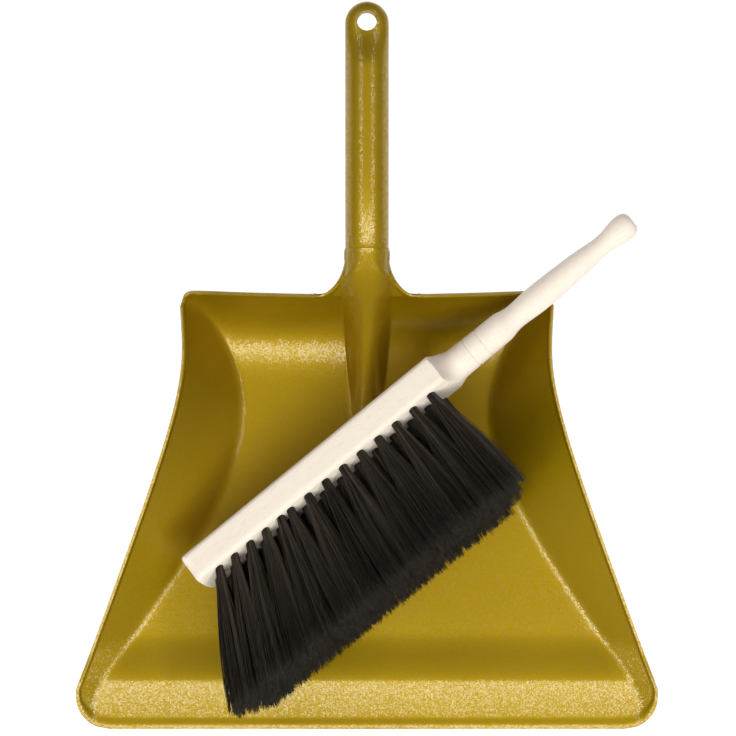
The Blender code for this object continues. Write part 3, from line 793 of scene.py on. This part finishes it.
def hair_lines(row, column, random):
    """Where a tuft's bristles run, as an array of bristles by steps by (x, y, z), and their tones."""
    root, tip, half_along, half_across = tuft_line(row, column)
    root, tip = np.array(root), np.array(tip)
    place = random.uniform(-1, 1, (HAIRS, 2))
    u, v = place[:, 0], place[:, 1]
    start = np.stack([u * np.sqrt(1 - v * v / 2), v * np.sqrt(1 - u * u / 2)], 1)
    start = start * ROOT_RADIUS * ROOT_FILL
    wisps = random.uniform(-1, 1, (WISPS, 2))
    nearest = np.argmin(((place[:, None] - wisps[None]) ** 2).sum(2), 1)
    end = mix(place, wisps[nearest], GATHER) * np.array([half_along, half_across]) * TIP_FILL
    end += random.normal(0, END_SCATTER, (HAIRS, 2))
    stray = random.uniform(0, 1, HAIRS) < STRAY[0]
    end[stray] += random.normal(0, STRAY[1], (int(stray.sum()), 2))
    length = 1 + random.normal(0, LENGTH_SCATTER, HAIRS)
    short = random.uniform(0, 1, HAIRS) < SHORT_SHARE
    length[short] -= random.uniform(*SHORT_BY, int(short.sum()))
    sag = random.normal(0, SAG, (HAIRS, 2))
    curl = random.normal(0, CURL[0], (HAIRS, 2))
    phase = random.uniform(0, 2 * math.pi, (HAIRS, 1))
    lines = np.zeros((HAIRS, HAIR_STEPS, 3))
    for step, share in enumerate(np.linspace(HAIR_START, 1.0, HAIR_STEPS)):
        along = share * length
        out = np.clip(along, 0, 2)[:, None]
        opened = 1 - (1 - np.minimum(out, 1)) ** FLARE
        side = mix(start, end, opened) + sag * np.sin(math.pi * np.minimum(out, 1)) * out
        side += curl * np.sin(phase + CURL[1] * out) * out
        centre = root + (tip - root) * along[:, None]
        lines[:, step] = centre
        lines[:, step, 0] += side[:, 0]
        lines[:, step, 2] += side[:, 1]
    wisp, own, pale = TONE_SHARES
    tone = wisp * random.uniform(0, 1, WISPS)[nearest] + own * random.uniform(0, 1, HAIRS)
    tone += pale * (random.uniform(0, 1, HAIRS) < PALE_SHARE)
    return lines, tone


def hair_mesh(name, lines, tone, place):
    """Three-sided tapering tubes along the lines, closed at both ends, each with its own tone and with
    painted shade towards its tip.
    """
    count, steps, _ = lines.shape
    heading = np.gradient(lines, axis=1)
    heading /= np.linalg.norm(heading, axis=2, keepdims=True)
    across = np.cross(heading, [1.0, 0.0, 0.0])
    across /= np.linalg.norm(across, axis=2, keepdims=True)
    upward = np.cross(heading, across)
    radius = HAIR_RADIUS * np.linspace(*HAIR_TAPER, steps)[None, :, None]
    points = np.zeros((count, steps, 3, 3))
    for corner in range(3):
        angle = 2 * math.pi * corner / 3
        points[:, :, corner] = lines + radius * (across * math.cos(angle) + upward * math.sin(angle))
    matrix = np.array(place)
    flat = points.reshape(-1, 3) @ matrix[:3, :3].T + matrix[:3, 3]
    index = np.arange(count * steps * 3).reshape(count, steps, 3)
    quads = []
    for corner in range(3):
        after = (corner + 1) % 3
        low, high = index[:, :-1], index[:, 1:]
        quad = [low[..., corner], high[..., corner], high[..., after], low[..., after]]
        quads.append(np.stack(quad, 2).reshape(-1, 4))
    quads = np.concatenate(quads)
    ends = np.concatenate([index[:, 0, :], index[:, -1, ::-1]])
    mesh = bpy.data.meshes.new(name)
    mesh.vertices.add(len(flat))
    mesh.vertices.foreach_set("co", flat.astype(np.float32).ravel())
    corners = np.concatenate([quads.ravel(), ends.ravel()]).astype(np.int32)
    starts = np.concatenate([np.arange(len(quads)) * 4, len(quads) * 4 + np.arange(len(ends)) * 3])
    mesh.loops.add(len(corners))
    mesh.loops.foreach_set("vertex_index", corners)
    mesh.polygons.add(len(starts))
    mesh.polygons.foreach_set("loop_start", starts.astype(np.int32))
    mesh.update(calc_edges=True)
    mesh.validate()
    # Painted shade: each bristle's tone is darkened more and more towards its tip, for the shade that
    # falls on the tips.
    tip_shade = np.repeat(1 - TIP_PAINTED_SHADE * np.linspace(0, 1, steps) ** 2, 3)
    colours = np.ones((len(flat), 4), np.float32)
    colours[:, :3] = (tone[:, None] * tip_shade[None, :]).reshape(-1, 1)
    layer = mesh.color_attributes.new("tone", "FLOAT_COLOR", "POINT")
    layer.data.foreach_set("color", colours.ravel())
    mesh.shade_smooth()
    return mesh


def build_tuft(row, column, place, material):
    random = np.random.default_rng(HAIR_SEED + 100 * row + column)
    lines, tone = hair_lines(row, column, random)
    name = f"bristles_r{row + 1}_{column + 1:02d}"
    return add_piece(name, hair_mesh(name, lines, tone, place), material)


# ---- materials ----


class Nodes:
    """A material's node tree, with short ways to add a node and to join two."""

    def __init__(self, name):
        self.material = bpy.data.materials.new(name)
        self.material.use_nodes = True
        self.tree = self.material.node_tree
        self.shader = self.tree.nodes["Principled BSDF"]

    def add(self, kind, **values):
        node = self.tree.nodes.new("ShaderNode" + kind)
        for key, value in values.items():
            if key in node.inputs:
                node.inputs[key].default_value = value
            else:
                setattr(node, key, value)
        return node

    def join(self, source, output, target, entry):
        self.tree.links.new(source.outputs[output], target.inputs[entry])

    def set(self, **values):
        for key, value in values.items():
            self.shader.inputs[key.replace("_", " ")].default_value = value

    def colour_ramp(self, source, output, stops):
        """A colour ramp over one value. stops are (position, colour), from low to high."""
        node = self.add("ValToRGB")
        elements = node.color_ramp.elements
        for element, (position, colour) in zip((elements[0], elements[1]), (stops[0], stops[-1])):
            element.position = position
            element.color = (*colour, 1)
        for position, colour in stops[1:-1]:
            elements.new(position).color = (*colour, 1)
        self.join(source, output, node, "Fac")
        return node

    def stretched(self, scale, turn=(0.0, 0.0, 0.0)):
        """Object coordinates, turned into the brush's own directions if asked, and scaled."""
        place = self.add("TexCoord")
        mapping = self.add("Mapping", vector_type="TEXTURE")
        mapping.inputs["Rotation"].default_value = turn
        self.join(place, "Object", mapping, "Vector")
        grow = self.add("VectorMath", operation="MULTIPLY")
        grow.inputs[1].default_value = scale
        self.join(mapping, "Vector", grow, 0)
        return grow


def lacquer_material():
    """Gold lacquer over fine metal flake. Each flake tips the coat and shines by its own amount."""
    m = Nodes("gold_lacquer")
    m.set(Metallic=0.85, Roughness=0.6, Specular_IOR_Level=0.1, Coat_IOR=1.85, Coat_Roughness=0.22)
    place = m.stretched((1.0, 1.0, 1.0))
    flakes = m.add("TexVoronoi", Scale=1500.0)
    m.join(place, 0, flakes, "Vector")
    centred = m.add("VectorMath", operation="SUBTRACT")
    centred.inputs[1].default_value = (0.5, 0.5, 0.5)
    m.join(flakes, "Color", centred, 0)
    tipped = m.add("VectorMath", operation="SCALE", Scale=0.14)
    m.join(centred, 0, tipped, 0)
    surface = m.add("NewGeometry")
    total = m.add("VectorMath", operation="ADD")
    m.join(surface, "Normal", total, 0)
    m.join(tipped, 0, total, 1)
    normal = m.add("VectorMath", operation="NORMALIZE")
    m.join(total, 0, normal, 0)
    m.join(normal, 0, m.shader, "Coat Normal")
    channels = m.add("SeparateColor")
    m.join(flakes, "Color", channels, "Color")
    m.join(channels, 2, m.shader, "Coat Weight")
    cloud = m.add("TexNoise", Scale=14.0, Detail=3.0)
    m.join(place, 0, cloud, "Vector")
    stops = [(0.3, (0.385, 0.248, 0.0015)), (0.7, (0.425, 0.274, 0.0025))]
    colour = m.colour_ramp(cloud, "Fac", stops)
    m.join(colour, "Color", m.shader, "Base Color")
    return m.material


def beech_material():
    """Pale beech: long soft grain, short darker flecks along it, and light tool marks."""
    m = Nodes("beech")
    m.set(Roughness=0.55, Specular_IOR_Level=0.3)
    turn = tuple(math.radians(angle) for angle in BRUSH_TURN)
    grain_place = m.stretched((9.0, 130.0, 130.0), turn)
    grain = m.add("TexNoise", Scale=1.0, Detail=4.0)
    m.join(grain_place, 0, grain, "Vector")
    fleck_place = m.stretched((260.0, 1500.0, 1500.0), turn)
    flecks = m.add("TexNoise", Scale=1.0, Detail=2.0)
    m.join(fleck_place, 0, flecks, "Vector")
    stops = [(0.3, (0.96, 0.84, 0.79)), (0.72, (0.99, 0.885, 0.86))]
    wood = m.colour_ramp(grain, "Fac", stops)
    stops = [(0.30, (0.93, 0.90, 0.86)), (0.42, (1, 1, 1))]
    dark = m.colour_ramp(flecks, "Fac", stops)
    both = m.add("Mix", data_type="RGBA", blend_type="MULTIPLY")
    both.inputs["Factor"].default_value = 1.0
    m.join(wood, "Color", both, 6)
    m.join(dark, "Color", both, 7)
    m.join(both, 2, m.shader, "Base Color")
    bump = m.add("Bump", Strength=0.25, Distance=0.0002)
    m.join(grain, "Fac", bump, "Height")
    m.join(bump, "Normal", m.shader, "Normal")
    return m.material


def bristle_material():
    """Dark hair: each bristle has its own tone, with painted shade darkening it towards its tip."""
    m = Nodes("dark_bristle")
    m.set(Roughness=0.6, Specular_IOR_Level=0.15)
    tone = m.add("Attribute", attribute_name="tone")
    stops = [
        (0.0, (0.008, 0.0068, 0.0062)),
        (0.62, (0.115, 0.093, 0.078)),
        (1.0, (0.26, 0.215, 0.18)),
    ]
    colour = m.colour_ramp(tone, "Fac", stops)
    m.join(colour, "Color", m.shader, "Base Color")
    return m.material


def floor_material():
    """A floor that glows white by itself, so that it shows no shadow and throws light upwards."""
    m = Nodes("studio_floor")
    m.set(Base_Color=(0.1, 0.1, 0.1, 1), Roughness=0.9)
    m.set(Emission_Color=(1, 1, 1, 1), Emission_Strength=1.0)
    return m.material


# ---- stage, lights and camera ----


def add_light(name, place, size, strength, tint):
    """A rectangular lamp that faces the middle of the pan. strength is its radiance."""
    data = bpy.data.lights.new(name, "AREA")
    data.shape = "RECTANGLE"
    data.size, data.size_y = size
    data.energy = strength * math.pi * size[0] * size[1]
    data.color = tint
    light = bpy.data.objects.new(name, data)
    bpy.context.scene.collection.objects.link(light)
    light.location = place
    towards = Vector(LIGHT_AIM) - light.location
    light.rotation_euler = towards.to_track_quat("-Z", "Y").to_euler()


def set_stage():
    work = bmesh.new()
    bmesh.ops.create_grid(work, x_segments=2, y_segments=2, size=STAGE_HALF)
    floor = add_piece("studio_floor", finished_mesh(work, "studio_floor"), floor_material())
    floor.location.z = -STAGE_DROP
    for light in LIGHTS:
        add_light(*light)
    world = bpy.data.worlds.new("studio")
    world.use_nodes = True
    background = world.node_tree.nodes["Background"]
    background.inputs["Color"].default_value = (WORLD_GREY, WORLD_GREY, WORLD_GREY, 1)
    bpy.context.scene.world = world
    bpy.context.scene.view_settings.view_transform = "Standard"


def set_camera():
    data = bpy.data.cameras.new("camera")
    data.sensor_width = SENSOR
    data.lens = SENSOR * CAMERA_HEIGHT / FRAME_WIDTH
    camera = bpy.data.objects.new("camera", data)
    camera.location = CAMERA_PLACE
    bpy.context.scene.collection.objects.link(camera)
    bpy.context.scene.camera = camera


def main():
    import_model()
    set_camera()
    set_stage()
    lacquer = lacquer_material()
    beech = beech_material()
    hair = bristle_material()
    pieces = [
        (build_pan(lacquer), "pan", "pan_shell", "lacquered_steel"),
        (build_tube(lacquer), "pan", "handle_tube", "lacquered_steel"),
    ]
    place = Euler([math.radians(turn) for turn in BRUSH_TURN]).to_matrix().to_4x4()
    place.translation = BRUSH_PLACE
    pieces.append((build_stock(place, beech), "brush", "brush_stock", "beech"))
    for row in range(len(TUFT_ROWS)):
        for column in range(TUFTS_PER_ROW):
            tuft = build_tuft(row, column, place, hair)
            pieces.append((tuft, "brush", f"tuft_r{row + 1}_{column + 1:02d}", "bristle"))
    for piece, body, node, slot in pieces:
        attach(piece, body)
        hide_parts(node)


main()
